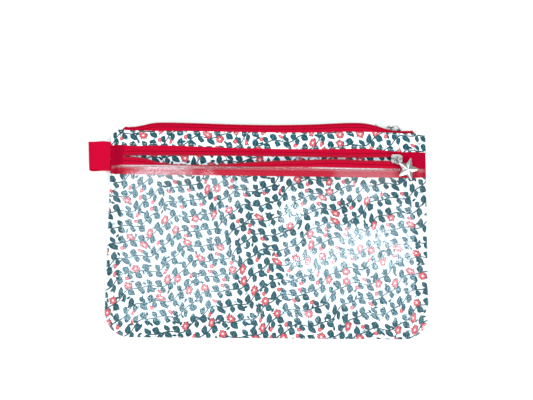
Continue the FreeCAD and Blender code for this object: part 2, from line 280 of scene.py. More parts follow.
def turned(tree, dx, dy, angle):  # the same place on axes turned by angle
    c = calc(tree, "COSINE", angle)
    s = calc(tree, "SINE", angle)
    u = calc(tree, "ADD", times(tree, dx, c), times(tree, dy, s))
    v = calc(tree, "SUBTRACT", times(tree, dy, c), times(tree, dx, s))
    return u, v


def noise(tree, size, detail=2.0):
    coords = tree.nodes.new("ShaderNodeTexCoord")
    node = tree.nodes.new("ShaderNodeTexNoise")
    node.inputs["Scale"].default_value = 1 / (size * mm)
    node.inputs["Detail"].default_value = detail
    tree.links.new(coords.outputs["Object"], node.inputs["Vector"])
    return node.outputs["Fac"]


def bump(tree, shader, height, depth, strength):
    node = tree.nodes.new("ShaderNodeBump")
    node.inputs["Strength"].default_value = strength
    node.inputs["Distance"].default_value = depth * mm
    tree.links.new(height, node.inputs["Height"])
    tree.links.new(node.outputs[0], shader.inputs["Normal"])


def distance(tree, a, b):  # root of the sum of two squares
    return calc(tree, "SQRT", calc(tree, "ADD", times(tree, a, a), times(tree, b, b)))


def offLine(tree, value, line):  # distance from a line, either side
    return calc(tree, "ABSOLUTE", calc(tree, "SUBTRACT", value, line))


def ribs(tree, value, pitch):  # rectified sine wave
    return calc(tree, "ABSOLUTE", calc(tree, "SINE", times(tree, value, math.pi / pitch)))


def settle(tree, shader, colour, rough, specular):  # what the finishes of cloth and thread share
    tree.links.new(colour, shader.inputs["Base Color"])
    shader.inputs["Roughness"].default_value = rough
    shader.inputs["Specular IOR Level"].default_value = specular


def weave(tree, pitch):  # plain weave: the higher of two crossing rows of ribs
    x, y = flatPlace(tree, pitch)
    return calc(tree, "MAXIMUM", ribs(tree, x, 1.0), ribs(tree, y, 1.0))


cottonPrint = {
    "ground": (0.95, 0.95, 0.95), "leaf": (0.003, 0.050, 0.066), "leafPale": (0.007, 0.074, 0.098),
    "mist": (0.30, 0.46, 0.55), "vein": (0.22, 0.36, 0.42), "red": (0.48, 0.022, 0.046),
    "pink": (0.66, 0.19, 0.205), "heart": (0.93, 0.76, 0.68), "speck": (0.62, 0.84, 0.92),
    "scale": 1.18, "slant": 0.42, "row": 11.8, "slot": 6.9, "stagger": 4.3, "stem": 0.50,
    "wave": 3.4, "waveLong": 47.0, "ripple": 0.9, "rippleLong": 17.0, "thread": 0.45,
    # a leaf: its start along the stem, its turn, its length and its half width
    "bigLeaf": (-1.7, 0.98, 6.3, 2.4), "smallLeaf": (1.9, 1.9, 5.4, 1.9), "looseLeaf": (-2.3, 0.0, 4.6, 1.0),
    "looseCell": 7.4, "looseSpread": 0.9, "misty": 0.28, "speckCell": 6.5, "speckSize": 0.32, "specks": 0.5,
    "blooms": 0.27, "berries": 0.53,  # chance of a blossom, and of a blossom or a berry
    # berry and blossom: place along the stem and out from it, then sizes
    "berryAlong": -1.7, "berryOut": 4.1, "berry": 1.5, "berryCore": 0.75, "stalk": 0.26, "stalkHalf": 1.9,
    "bloomAlong": -0.2, "bloomOut": 2.75, "bloom": 2.75, "bloomMore": 0.4, "sepal": 1.4, "sepalMore": 2.2,
    "petals": 5.0, "lobe": 0.13, "heartSize": 0.26, "streak": 1.5, "fullTurn": 6.283, "fade": 0.02,
}


def leafShape(tree, f, e, leaf):  # lens: half width falls off as one less a square, faster towards the tip
    base, angle, length, wide = leaf
    u, v = turned(tree, calc(tree, "SUBTRACT", f, base), e, angle)
    share = calc(tree, "MULTIPLY_ADD", u, 2 / length, -1.1)
    width = calc(tree, "MULTIPLY_ADD", times(tree, share, share), -wide, wide)
    width = times(tree, width, calc(tree, "MULTIPLY_ADD", share, -0.28, 1.0))
    return below(tree, calc(tree, "ABSOLUTE", v), width, 0.20), v


def makePrint(name, shift):
    # rows of slanting, waving vines: every slot has a leaf on each side of the stem,
    # and by chance a blossom or a berry over the smaller leaf
    p = cottonPrint
    material, tree, shader = newFinish(name)
    x, y = flatPlace(tree, p["scale"], shift=shift)
    u, v = turned(tree, x, y, p["slant"])
    wave = calc(tree, "SINE", times(tree, u, 2 * math.pi / p["waveLong"]))
    small = calc(tree, "SINE", calc(tree, "MULTIPLY_ADD", u, 2 * math.pi / p["rippleLong"], 1.0))
    q = calc(tree, "MULTIPLY_ADD", wave, p["wave"], calc(tree, "MULTIPLY_ADD", small, p["ripple"], v))
    row = calc(tree, "FLOOR", calc(tree, "MULTIPLY_ADD", q, 1 / p["row"], 0.5))
    d = calc(tree, "MULTIPLY_ADD", row, -p["row"], q)
    along = calc(tree, "MULTIPLY_ADD", row, p["stagger"], u)
    slot = calc(tree, "FLOOR", times(tree, along, 1 / p["slot"]))
    f = calc(tree, "SUBTRACT", along, calc(tree, "MULTIPLY_ADD", slot, p["slot"], p["slot"] / 2))
    hashed = tree.nodes.new("ShaderNodeTexWhiteNoise")
    hashed.noise_dimensions = "2D"
    tree.links.new(joinPlace(tree, slot, row), hashed.inputs["Vector"])
    chance = tree.nodes.new("ShaderNodeSeparateColor")
    tree.links.new(hashed.outputs["Color"], chance.inputs[0])
    r1, r2, r3 = chance.outputs[:3]
    side = calc(tree, "MULTIPLY_ADD", calc(tree, "FLOORED_MODULO", slot, 2.0), 2.0, -1.0)
    e = times(tree, d, side)
    other = times(tree, e, -1.0)
    bloom = calc(tree, "LESS_THAN", r1, p["blooms"])
    berry = calc(tree, "SUBTRACT", calc(tree, "LESS_THAN", r1, p["berries"]), bloom)

    # pale specks, then loose leaves in the gaps between the vines
    dx, dy, _, _, pick = cells(tree, p["speckCell"], 1.0)
    dot = below(tree, distance(tree, dx, dy), p["speckSize"], 0.2)
    speck = times(tree, dot, calc(tree, "LESS_THAN", pick, p["specks"]))
    colour = paint(tree, speck, p["ground"], p["speck"])
    dx, dy, spin, pale, tint = cells(tree, p["looseCell"], p["looseSpread"], shift=shift)
    loose, _ = leafShape(tree, *turned(tree, dx, dy, times(tree, spin, p["fullTurn"])), p["looseLeaf"])
    green = paint(tree, tint, p["leaf"], p["leafPale"])
    green = paint(tree, calc(tree, "LESS_THAN", pale, p["misty"]), green, p["mist"])
    colour = paint(tree, loose, colour, green)

    # stems and the leaves on them
    stem = below(tree, calc(tree, "ABSOLUTE", d), p["stem"], 0.2)
    colour = paint(tree, stem, colour, p["leaf"])
    tone = paint(tree, r2, p["leaf"], p["leafPale"])
    for across, leaf in ((e, p["bigLeaf"]), (other, p["smallLeaf"])):
        inside, middle = leafShape(tree, f, across, leaf)
        vein = below(tree, calc(tree, "ABSOLUTE", middle), 0.10, 0.14)
        shade = paint(tree, times(tree, vein, 0.45), tone, p["vein"])
        colour = paint(tree, inside, colour, shade)

    # berries on short stalks
    stalk = times(tree, below(tree, offLine(tree, f, p["berryAlong"]), p["stalk"], 0.2),
                  below(tree, offLine(tree, other, p["stalkHalf"]), p["stalkHalf"], 0.2))
    colour = paint(tree, times(tree, stalk, berry), colour, p["leaf"])
    a = calc(tree, "SUBTRACT", f, p["berryAlong"])
    b = calc(tree, "SUBTRACT", other, p["berryOut"])
    away = distance(tree, a, b)
    fruit = paint(tree, below(tree, away, p["berryCore"], 0.7), p["red"], p["pink"])
    colour = paint(tree, times(tree, below(tree, away, p["berry"], 0.25), berry), colour, fruit)

    # blossoms: pointed sepals under a round of petals, streaked from pink to red
    g = calc(tree, "SUBTRACT", f, p["bloomAlong"])
    h = calc(tree, "SUBTRACT", other, p["bloomOut"])
    far = distance(tree, g, h)
    turn = calc(tree, "MULTIPLY_ADD", r3, p["fullTurn"], calc(tree, "ARCTAN2", h, g))
    point = calc(tree, "ABSOLUTE", calc(tree, "SINE", times(tree, turn, p["petals"] / 2)))
    point = calc(tree, "POWER", point, 4.0)
    sepal = below(tree, far, calc(tree, "MULTIPLY_ADD", point, p["sepalMore"], p["sepal"]), 0.3)
    colour = paint(tree, times(tree, sepal, bloom), colour, p["leaf"])
    lobe = calc(tree, "COSINE", times(tree, turn, p["petals"]))
    size = calc(tree, "MULTIPLY_ADD", r2, p["bloomMore"], p["bloom"])
    rim = times(tree, size, calc(tree, "MULTIPLY_ADD", lobe, p["lobe"], 1 - p["lobe"]))
    reach = calc(tree, "DIVIDE", far, rim)
    streak = calc(tree, "MULTIPLY_ADD", noise(tree, 1.1, 1.0), p["streak"], -p["streak"] / 2)
    mixed = calc(tree, "ADD", calc(tree, "MULTIPLY_ADD", reach, 0.75, 0.05), streak, clamp=True)
    petal = paint(tree, mixed, p["pink"], p["red"])
    petal = paint(tree, times(tree, below(tree, lobe, -0.5, 0.6), 0.6), petal, p["red"])
    petal = paint(tree, below(tree, reach, p["heartSize"], 0.16), petal, p["heart"])
    colour = paint(tree, times(tree, below(tree, reach, 1.0, 0.10), bloom), colour, petal)
    fade = times(tree, noise(tree, 3.0), p["fade"])
    colour = paint(tree, fade, colour, p["ground"])  # ink sits a little unevenly on the threads
    settle(tree, shader, colour, 0.85, 0.05)
    bump(tree, shader, weave(tree, p["thread"]), 0.08, 0.35)
    return material


plainCloth = {"thread": 0.5, "depth": 0.12, "blotch": 6.0, "blotchShare": 0.22}


def makeCloth(name, base, dark, sheen):
    # plain woven cloth: threads shade the colour and lift the surface, slow noise varies it
    p = plainCloth
    material, tree, shader = newFinish(name)
    threads = weave(tree, p["thread"])
    colour = paint(tree, threads, dark, base)
    slow = times(tree, noise(tree, p["blotch"]), p["blotchShare"])
    colour = paint(tree, slow, colour, dark)
    settle(tree, shader, colour, 0.8, 0.01)
    shader.inputs["Sheen Weight"].default_value = sheen
    bump(tree, shader, threads, p["depth"], 0.5)
    return material


zipTape = {"dark": (0.25, 0.0009, 0.012), "light": (0.54, 0.0025, 0.031), "cordAndShade": (0.15, 0.0006, 0.006),
           "worn": (0.42, 0.002, 0.018), "rib": 0.8, "thread": 0.55, "cords": (1.1, 3.6), "cordHalf": 0.36}


def makeTape():
    # zip tape: cross ribs and a darker cord line either side of the coil's seat, dark partly from the cord's
    # own colour and partly as painted shade
    p = zipTape
    material, tree, shader = newFinish("zipTapeRed")
    along, across = flatPlace(tree, 1.0, "UV")
    height = calc(tree, "MULTIPLY_ADD", ribs(tree, across, p["thread"]), 0.5, ribs(tree, along, p["rib"]))
    colour = paint(tree, times(tree, height, 0.66), p["dark"], p["light"])
    # cord lines: the cord's own darker colour, deepened as painted shade beside the coil's seat
    for seat in p["cords"]:
        line = below(tree, offLine(tree, across, seat), p["cordHalf"], 0.3)
        colour = paint(tree, times(tree, line, 0.9), colour, p["cordAndShade"])
    colour = paint(tree, times(tree, noise(tree, 5.0), 0.25), colour, p["worn"])
    settle(tree, shader, colour, 0.62, 0.02)
    bump(tree, shader, height, 0.15, 0.6)
    return material


twill = {"dark": (0.38, 0.001, 0.018), "light": (0.55, 0.0015, 0.032), "worn": (0.42, 0.001, 0.018),
         "rib": 1.5, "thread": 0.7, "slant": 0.8}


def makeWebbing():
    # twill webbing: slanted ribs broken by cross threads
    p = twill
    material, tree, shader = newFinish("webbingRed")
    along, across = flatPlace(tree, 1.0, "UV")
    slant = calc(tree, "ADD", along, times(tree, across, p["slant"]))
    height = calc(tree, "MULTIPLY_ADD", ribs(tree, across, p["thread"]), 0.5, ribs(tree, slant, p["rib"]))
    colour = paint(tree, times(tree, height, 0.66), p["dark"], p["light"])
    colour = paint(tree, times(tree, noise(tree, 4.0), 0.2), colour, p["worn"])
    settle(tree, shader, colour, 0.7, 0.02)
    bump(tree, shader, height, 0.2, 0.6)
    return material


def makeCoil():  # nylon wire: two reds and an uneven gloss
    material, tree, shader = newFinish("coilRed")
    colour = paint(tree, noise(tree, 2.0), (0.30, 0.002, 0.012), (0.52, 0.005, 0.028))
    tree.links.new(colour, shader.inputs["Base Color"])
    tree.links.new(calc(tree, "MULTIPLY_ADD", noise(tree, 1.0), 0.2, 0.28), shader.inputs["Roughness"])
    return material


def makeThread(name, base, dark):  # twisted thread: slanted plies in two tones
    material, tree, shader = newFinish(name)
    x, y = flatPlace(tree, 0.35)
    ply = calc(tree, "SINE", times(tree, calc(tree, "ADD", x, y), math.pi))
    height = calc(tree, "MULTIPLY_ADD", ply, 0.5, 0.5)
    settle(tree, shader, paint(tree, height, dark, base), 0.5, 0.25)
    bump(tree, shader, height, 0.05, 0.4)
    return material


plating = {"dull": (0.50, 0.49, 0.47), "bright": (0.66, 0.65, 0.63), "patinaAndShade": (0.04, 0.037, 0.033),
           "near": 2.4, "deep": 2.6}


def makeNickel():  # plated metal: soft cast unevenness, and near-black colour where parts come close, partly patina and partly painted shade
    p = plating
    material, tree, shader = newFinish("nickelPlate")
    colour = paint(tree, noise(tree, 3.5), p["dull"], p["bright"])
    # painted shade, partly patina: colour darkens towards near black where other surfaces are near, read
    # from occlusion
    shadeAndPatinaMask = tree.nodes.new("ShaderNodeAmbientOcclusion")
    shadeAndPatinaMask.samples = 8
    shadeAndPatinaMask.inputs["Distance"].default_value = p["near"] * mm
    colour = paint(tree, calc(tree, "POWER", shadeAndPatinaMask.outputs["AO"], p["deep"]), p["patinaAndShade"], colour)
    tree.links.new(colour, shader.inputs["Base Color"])
    shader.inputs["Metallic"].default_value = 1.0
    tree.links.new(calc(tree, "MULTIPLY_ADD", noise(tree, 1.6), 0.16, 0.20), shader.inputs["Roughness"])
    bump(tree, shader, noise(tree, 2.4), 0.03, 0.2)
    return material


clearSheet = {"milkAndSheen": (0.93, 0.95, 0.97), "rough": 0.11, "ripple": 2.4, "rippleLong": 38.0, "grazing": 0.24}
# painted reflections: milky spots in a band below the clear edge, standing in for sheen; middle, half length
# and blur in millimetres, and the added haze
hemSheenSpots = {"high": 56.2, "low": 50.0, "fade": 10.0,
             "spots": [(-91.0, 23.5, 16.0, 0.085), (83.0, 25.5, 8.0, 0.046)]}
# painted highlights on the bead: the same kind of milky spots, standing in for its bright reflections
beadSheenSpots = {"high": 70.0, "low": 50.0, "fade": 10.0,
              "spots": [(-95.0, 30.0, 14.0, 0.20), (68.0, 30.0, 10.0, 0.18)]}


def makeClear(name, haze, gloss, sheenSpots=None):
    # clear vinyl: mostly see-through, a share of mirror gloss and a little milky haze,
    # with more haze added in spots along the edge band as painted reflections
    p = clearSheet
    material, tree, shader = newFinish(name)
    tree.nodes.remove(shader)
    out = tree.nodes["Material Output"]
    through = tree.nodes.new("ShaderNodeBsdfTransparent")
    milkAndSheen = tree.nodes.new("ShaderNodeBsdfDiffuse")
    milkAndSheen.inputs["Color"].default_value = (*p["milkAndSheen"], 1)
    shine = tree.nodes.new("ShaderNodeBsdfGlossy")
    shine.inputs["Roughness"].default_value = p["rough"]
    bump(tree, shine, noise(tree, p["rippleLong"], 1.0), p["ripple"], 1.0)
    first = tree.nodes.new("ShaderNodeMixShader")
    first.inputs[0].default_value = haze
    # painted reflection: white haze added in spots of a band below the top edge, where sheen shows
    if sheenSpots:
        x, y = flatPlace(tree, 1.0)
        upper = below(tree, y, sheenSpots["high"], 0.6)
        start = 1 - sheenSpots["low"] / sheenSpots["fade"]
        lower = calc(tree, "MULTIPLY_ADD", y, 1 / sheenSpots["fade"], start, clamp=True)
        band = times(tree, upper, lower)
        hazeWithSheen = haze
        for middle, half, blur, addedSheen in sheenSpots["spots"]:
            inside = below(tree, offLine(tree, x, middle), half, blur)
            hazeWithSheen = calc(tree, "MULTIPLY_ADD", times(tree, band, inside), addedSheen, hazeWithSheen)
        tree.links.new(hazeWithSheen, first.inputs[0])
    tree.links.new(through.outputs[0], first.inputs[1])
    tree.links.new(milkAndSheen.outputs[0], first.inputs[2])
    facing = tree.nodes.new("ShaderNodeLayerWeight")
    facing.inputs["Blend"].default_value = 0.5
    steep = calc(tree, "POWER", facing.outputs["Facing"], 5.0)
    second = tree.nodes.new("ShaderNodeMixShader")
    tree.links.new(calc(tree, "MULTIPLY_ADD", steep, p["grazing"], gloss, clamp=True), second.inputs[0])
    tree.links.new(first.outputs[0], second.inputs[1])
    tree.links.new(shine.outputs[0], second.inputs[2])
    tree.links.new(second.outputs[0], out.inputs["Surface"])
    return material


printMiddle = makePrint("cottonPrintMiddle", (0.0, 0.0))
printBack = makePrint("cottonPrintBack", (31.3, 17.7))
printStrip = makePrint("cottonPrintStrip", (11.4, 5.2))
liningCloth = makeCloth("liningCotton", (0.82, 0.80, 0.76), (0.62, 0.60, 0.57), 0.04)
tabCloth = makeCloth("tabCrimson", (0.38, 0.0006, 0.022), (0.30, 0.0005, 0.016), 0.008)
tapeRed = makeTape()
webbingRed = makeWebbing()
coilRed = makeCoil()
nickel = makeNickel()
threadRed = makeThread("threadRed", (0.66, 0.03, 0.06), (0.42, 0.006, 0.022))
threadPale = makeThread("threadPale", (0.90, 0.89, 0.87), (0.72, 0.71, 0.69))
clearVinyl = makeClear("clearVinyl", 0.002, 0.022, hemSheenSpots)
clearHemVinyl = makeClear("clearVinylHem", 0.03, 0.022)
clearEdgeVinyl = makeClear("clearVinylEdge", 0.03, 0.03, beadSheenSpots)
print("stage: finishes made")


def outlineGrid(cols, rows, low, high, inset=0.0):
    # columns crowd towards the sides as a sine does; rows run from the lower line to the upper one
    u = np.linspace(-1, 1, cols)
    x = (pouch["half"] - inset) * np.sin(u * np.pi / 2)
    v = np.linspace(0, 1, rows)
    bottom = low(x)
    top = high(x) if callable(high) else np.full_like(x, high)
    y = bottom[:, None] + v[None, :] * (top - bottom)[:, None]
    return np.repeat(x[:, None], rows, axis=1), y


def wallHeight(gap):  # front wall: smooth step from the seam up to the flat front
    rise = pouch["wall"] - pouch["floor"]
    return pouch["floor"] + rise * soft((gap - pouch["seam"]) / pouch["wallRun"])


def cornerRise(x, share):  # a share of the wall's fall towards the side seam
    return share * (pouch["wall"] - wallHeight(sideGap(x)))


ears = {"left": 2.2, "leftFrom": -124, "leftRun": 11, "right": 1.0, "rightFrom": 126, "rightRun": 9}


def panelTop(x):  # upper outline of the panels: straight, with small ears beside the rear zip
    p = ears
    return (pouch["top"] + p["left"] * soft((p["leftFrom"] - x) / p["leftRun"])
            + p["right"] * soft((x - p["rightFrom"]) / p["rightRun"]))


backSheet = {"thick": 0.65, "slope": 23.0, "topSlope": 32.0, "seam": 3.0, "edge": 0.4}


def backHeight(x, y):  # flat underneath, a smooth step up to the rim all round
    p = backSheet
    gap = edgeGap(x, y, p["slope"] / p["topSlope"])
    return pouch["rim"] * soft((p["slope"] + p["seam"] - gap) / p["slope"])


x, y = outlineGrid(141, 91, lowEdge, panelTop)
back = gridMesh("backPanel", x, y, backHeight(x, y), flip=True)
dress(back, printBack, "pouch", "print", "back_panel", thick=backSheet["thick"], edge=backSheet["edge"])

lining = {"inset": 7, "top": 0.4, "above": 0.95, "below": 0.32, "thick": 0.2}


def liningLow(x):  # the pouch's lower outline, moved up by the inset
    return lowEdge(x) + lining["inset"]


x, y = outlineGrid(91, 61, liningLow, pouch["top"] - lining["inset"], inset=lining["inset"])
inside = gridMesh("backLining", x, y, backHeight(x, y) + lining["above"])
dress(inside, liningCloth, "pouch", "lining", "back_lining", thick=lining["thick"])

middleSheet = {"thick": 0.65, "edge": 0.4, "scoop": 57.5, "run": 24.0, "rise": 7.2, "side": 3.2,
               "sideRun": 9.6, "swell": 0.18, "swellGap": 6, "swellTop": 50, "swellRun": 15}


def middleHeight(x, y):  # flat, with a smooth scoop up to the rear zip
    p = middleSheet
    lift = p["rise"] * soft((y - p["scoop"]) / p["run"]) * soft((sideGap(x) - p["side"]) / p["sideRun"])
    return pouch["mid"] + lift


def middleFace(x, y):  # upper face, with an uneven swell away from the seams
    p = middleSheet
    free = soft((edgeGap(x, y) - p["swellGap"]) / p["swellRun"]) * soft((p["swellTop"] - y) / p["swellRun"])
    return middleHeight(x, y) + p["thick"] + np.abs(ripple(x, y, p["swell"])) * free


x, y = outlineGrid(141, 111, lowEdge, panelTop)
middle = gridMesh("middlePanel", x, y, middleFace(x, y))
dress(middle, printMiddle, "pouch", "print", "middle_panel",
      thick=middleSheet["thick"], edge=middleSheet["edge"])

x, y = outlineGrid(91, 71, liningLow, pouch["top"] - lining["top"], inset=lining["inset"])
under = gridMesh("middleLining", x, y, middleHeight(x, y) - lining["below"], flip=True)
dress(under, liningCloth, "pouch", "lining", "middle_lining", thick=lining["thick"])
print("stage: cotton panels")

vinyl = {"thick": 0.4, "rise": 0.10, "sag": 0.5, "sagGap": 10, "sagRun": 25, "sagTop": 48, "sagTopRun": 20,
         "beadEnd": 136.8, "beadTaper": 1.5, "beadHalf": 0.75, "beadHigh": 0.42, "beadLift": 0.42,
         "beadSides": 14, "wave": 0.2, "waveLong": 19,
         "hem": 3.0, "hemTop": 1.5, "hemLift": 0.22, "hemThick": 0.2}


def clearHeight(x, y):  # front wall with a slow sag between its seams
    p = vinyl
    gap = edgeGap(x, y)
    sag = (p["sag"] * (0.5 + 0.5 * ripple(x, y, 1.0)) * soft((gap - p["sagGap"]) / p["sagRun"])
           * soft((p["sagTop"] - y) / p["sagTopRun"]))
    return wallHeight(gap) + p["thick"] - sag


def clearTop(x):  # upper edge of the clear front: straight, a little higher at the corners
    return pouch["clearEdge"] + cornerRise(x, vinyl["rise"])


x, y = outlineGrid(141, 91, lowEdge, clearTop)
front = gridMesh("clearFront", x, y, clearHeight(x, y))
dress(front, clearVinyl, "pouch", "clear", "clear_front", thick=vinyl["thick"])

# bead: an oval carried along the clear edge, closing in a point at both ends
along = np.linspace(-vinyl["beadEnd"], vinyl["beadEnd"], 181)
turn = np.linspace(0, 2 * np.pi, vinyl["beadSides"], endpoint=False)
full = np.clip((vinyl["beadEnd"] - np.abs(along)) / vinyl["beadTaper"], 0, 1)[:, None]
beadY = clearTop(along) - vinyl["beadHalf"] + vinyl["wave"] * np.sin(along / vinyl["waveLong"])
beadZ = wallHeight(sideGap(along)) + vinyl["beadLift"]
x = np.repeat(along[:, None], vinyl["beadSides"], axis=1)
y = beadY[:, None] + vinyl["beadHalf"] * full * np.cos(turn)[None, :]
z = beadZ[:, None] + vinyl["beadHigh"] * full * np.sin(turn)[None, :]
bead = gridMesh("clearEdgeBead", x, y, z, closeCols=True)
dress(bead, clearEdgeVinyl, "pouch", "clear")
x, y = np.meshgrid(along, np.linspace(-vinyl["hem"], -vinyl["hemTop"], 9), indexing="ij")
y = y + clearTop(x)
tail = gridMesh("clearHem", x, y, wallHeight(sideGap(x)) + vinyl["thick"] + vinyl["hemLift"])
dress(tail, clearHemVinyl, "pouch", "clear", "clear_front_hem", thick=vinyl["hemThick"])

strip = {
    "thick": 0.65, "round": 0.4, "lift": 0.05, "curl": 0.45, "curlRun": 0.5, "curlShare": 0.6,
    "edge": [(-138, 76.5), (-131, 75.9), (-125, 75.1), (-90, 75.2), (-25, 73.8), (30, 73.6), (52, 73.9),
             (70, 74.5), (88, 74.5), (100, 73.3), (108, 72.6), (121, 72.2), (131, 73.0), (138, 73.6)],
    "upper": [(-138, 90.2), (-131, 89.3), (-125, 88.3), (-112, 87.9), (-60, 88.0), (0, 87.8), (30, 88.0),
              (45, 88.5), (58, 89.1), (80, 89.4), (100, 89.1), (120, 88.6), (138, 88.8)],
}


def stripLine(x):  # lower edge of the strip
    return throughPoints(strip["edge"], x)


def stripTop(x):  # upper edge of the strip
    return throughPoints(strip["upper"], x)


x, y = outlineGrid(121, 25, stripLine, stripTop)
nearEdge = np.exp(-(y - stripLine(x)) / strip["curlRun"]) + np.exp(-(stripTop(x) - y) / strip["curlRun"])
curl = strip["curl"] * nearEdge
z = wallHeight(sideGap(x)) + strip["thick"] + strip["lift"] - curl * strip["curlShare"]
topStrip = gridMesh("topStrip", x, y, z)
dress(topStrip, printStrip, "pouch", "print", "top_strip", thick=strip["thick"], edge=strip["round"])

tab = {"thick": 0.45, "edge": 0.4, "low": 49.8, "high": 81.2, "rise": 0.22, "sunk": 0.06, "fold": 3,
       "seam": 0.35, "seamRun": 1.4, "left": (-137.4, -124.4), "right": (115.6, 137.4)}
for name, node, (x0, x1) in (("leftTab", "left_tab", tab["left"]), ("rightTab", "right_tab", tab["right"])):
    x, y = np.meshgrid(np.linspace(x0, x1, 31), np.linspace(tab["low"], tab["high"], 31), indexing="ij")
    y = y + cornerRise(x, tab["rise"]) * (tab["high"] - y) / (tab["high"] - tab["low"])
    z = wallHeight(sideGap(x)) - tab["sunk"] + tab["seam"] * np.exp(-sideGap(x) / tab["seamRun"])
    piece = gridMesh(name, x, y, z)
    dress(piece, tabCloth, "pouch", "tab", node, thick=tab["thick"], edge=tab["edge"])
print("stage: front wall")

frontZip = {
    "upper": [(-125.2, 65.6), (-120, 65.9), (-114, 66.3), (-100, 66.4), (-60, 66.7), (-20, 66.9), (20, 67.0),
              (50, 66.8), (75, 66.9), (95, 67.2), (106, 67.5), (117, 67.5)],
    "gap": [(-125.2, 0.4), (-117, 0.9), (-110, 1.8), (-102, 3.5), (-95, 5.6), (-87, 6.9), (-72, 7.7),
            (-48, 7.6), (-24, 5.8), (7, 3.7), (35, 2.4), (46, 1.7), (54, 1.3), (66, 1.5), (78, 2.2),
            (92, 2.5), (100, 2.7), (108, 3.0), (117, 3.0)],
    "left": -124.8, "right": 116.0, "over": 0.3, "hidden": 81.0, "foot": 49.9, "thick": 0.42, "edge": 0.12,
    "lift": 0.2, "curlRun": 1.6, "upperCurl": 0.22, "lowerCurl": 0.26, "lowerDrop": 0.04,
    "wire": 0.34, "coilSize": (0.52, 0.62), "coilIn": 0.85, "pitch": 1.2, "sink": 14.9,
    "shut": {"ends": (116.4, 114.7), "travel": 229.0, "middle": 66.0, "span": (58.2, 69.4), "seat": 15.52},
}


def upperLip(x):  # lip of the upper tape
    return throughPoints(frontZip["upper"], x)


def lowerLip(x):  # lip of the lower tape: the upper one less the gap
    return upperLip(x) - throughPoints(frontZip["gap"], x)


def ribbon(name, x, lip, sewn, high, turnOver, node):
    # tape: straight rows from its lip to its sewn edge, closer together at the lip
    v = np.linspace(0, 1, 22) ** 1.4
    y = lip[:, None] + v[None, :] * (np.full_like(x, sewn) - lip)[:, None]
    xx = np.repeat(x[:, None], len(v), axis=1)
    across = np.abs(y - lip[:, None])
    piece = gridMesh(name, xx, y, high(xx, across), flip=turnOver, along=xx, across=across)
    dress(piece, tapeRed, "pouch", "tape", node, thick=frontZip["thick"])
    return piece


closedZip = {"rows": 61, "cols": 45, "apart": 0.75, "half": 0.62, "rise": 0.45, "thick": 0.1}


def closedChain(name, shut, upright):
    # shut part of a zip, pressed up behind its slider at rest; its UV runs along where its rows would lie
    # once drawn out by the slider; across it lies flat, with two half-round ridges side by side where the
    # coils are locked
    p = closedZip
    first, last = shut["ends"]
    t = np.linspace(0, 1, p["rows"])
    x = np.repeat((first + (last - first) * t)[:, None], p["cols"], axis=1)
    drawn = x - shut["travel"] * soft(t)[:, None]
    across = np.repeat(np.linspace(*shut["span"], p["cols"])[None, :], p["rows"], axis=0)
    off = np.abs(across - shut["middle"])
    out = shut["seat"] + p["rise"] * np.sqrt(np.clip(1 - ((off - p["apart"]) / p["half"]) ** 2, 0, 1))
    y, z = (out, across) if upright else (across, out)
    piece = gridMesh(name, x, y, z, flip=not upright, along=drawn, across=off)
    piece.data.materials.append(tapeRed)
    wall = piece.modifiers.new("thickness", "SOLIDIFY")
    wall.thickness = p["thick"] * mm
    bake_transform(piece)


def coilAlong(name, ends, lip, inwards, seat, size, node):
    # nylon spiral: an oval helix carried along the lip
    p = frontZip
    x0, x1 = ends
    wide, high = size
    turns = int((x1 - x0) / p["pitch"])
    t = np.linspace(0, turns, turns * 10 + 1)
    x = x0 + t * (x1 - x0) / turns
    y = lip(x) + inwards + wide * np.cos(2 * np.pi * t)
    z = np.full_like(x, seat) + high * np.sin(2 * np.pi * t)
    path = np.stack([x, y, z], axis=1)
    piece = gridMesh(name, *tube(path, p["wire"], 6, (1, 0, 0)), closeCols=True)
    dress(piece, coilRed, "pouch", "coil", node)
    return piece


def upperTapeHeight(x, across):  # level, curling up towards the lip
    return zipTop + frontZip["upperCurl"] * np.exp(-across / frontZip["curlRun"])


def lowerTapeHeight(x, across):  # the same, a little lower
    return zipTop - frontZip["lowerDrop"] + frontZip["lowerCurl"] * np.exp(-across / frontZip["curlRun"])


x = np.linspace(frontZip["left"] - frontZip["over"], frontZip["right"] + frontZip["over"], 221)
zipTop = pouch["zipZ"] + frontZip["lift"]
upperTape = ribbon("frontUpperTape", x, upperLip(x) + frontZip["edge"], frontZip["hidden"], upperTapeHeight,
                   False, "front_upper_tape")
lowerTape = ribbon("frontLowerTape", x, lowerLip(x) - frontZip["edge"], frontZip["foot"], lowerTapeHeight,
                   True, "front_lower_tape")
ends = (frontZip["left"], frontZip["right"])
upperCoil = coilAlong("frontUpperCoil", ends, upperLip, frontZip["coilIn"], pouch["zipZ"],
                      frontZip["coilSize"], "front_upper_coil")
lowerCoil = coilAlong("frontLowerCoil", ends, lowerLip, -frontZip["coilIn"], pouch["zipZ"],
                      frontZip["coilSize"], "front_lower_coil")
closedChain("frontClosedChain", frontZip["shut"], False)
for piece in (upperCoil, lowerCoil):  # each open coil takes a mesh of its own
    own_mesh(piece)
# each tape takes a mesh of its own
for piece, sewn, keep in ((upperTape, "hidden", 0.90), (lowerTape, "foot", 0.92)):
    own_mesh(piece)

